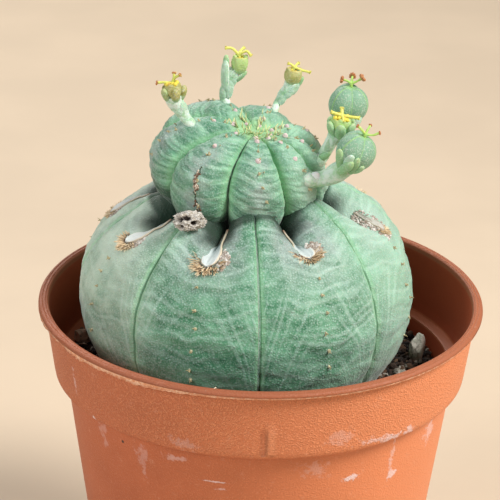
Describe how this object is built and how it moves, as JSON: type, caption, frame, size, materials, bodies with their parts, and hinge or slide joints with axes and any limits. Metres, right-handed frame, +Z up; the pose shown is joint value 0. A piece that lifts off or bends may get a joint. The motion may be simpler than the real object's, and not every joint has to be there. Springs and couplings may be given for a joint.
{
  "type": "potted baseball plant",
  "caption": "Ribbed spineless round succulent with a head on its crown, short flower stalks and seed capsules, in a tapered round nursery pot.",
  "frame": {"origin": "centre of the pot's base, on the plane it stands on", "axes": "+Z up through the plant's crown, -Y towards the side the picture shows"},
  "size_m": [0.09, 0.09, 0.1321],
  "materials": {
    "pot_plastic": "matte terracotta-coloured moulded plastic, finely grained band",
    "soil": "dark gritty potting soil",
    "gravel": "rough grey and tan gravel",
    "plant_skin": "living blue-green skin with a waxy bloom",
    "stalk_green": "living light green stalks, scales and capsules",
    "bloom_yellow": "living yellow flower parts and young leaves",
    "dried_tissue": "dry, fibrous old stalk tissue"
  },
  "bodies": {
    "root": {"back_fruit_stalk": "stalk_green", "back_fruit_style": "bloom_yellow", "back_right_bloom": "bloom_yellow", "back_right_stalk": "stalk_green", "crown_leaves": "bloom_yellow", "dried_stump": "dried_tissue", "front_fruit_stalk": "stalk_green", "front_fruit_style": "bloom_yellow", "left_bloom": "bloom_yellow", "left_stalk": "stalk_green", "middle_bloom": "bloom_yellow", "plant_body": "plant_skin", "pot": "pot_plastic", "rear_bloom": "bloom_yellow", "rear_stalk": "stalk_green", "scar_1": "dried_tissue", "scar_2": "dried_tissue", "scar_3": "dried_tissue", "scar_4": "dried_tissue", "scar_5": "dried_tissue", "scar_6": "dried_tissue", "scar_7": "dried_tissue", "scar_8": "dried_tissue", "soil": "soil", "stone_01": "gravel", "stone_02": "gravel", "stone_03": "gravel", "stone_04": "gravel", "stone_05": "gravel", "stone_06": "gravel", "stone_07": "gravel", "stone_08": "gravel", "stone_09": "gravel", "stone_10": "gravel", "stone_11": "gravel", "stone_12": "gravel", "stone_13": "gravel"}
  },
  "joints": []
}
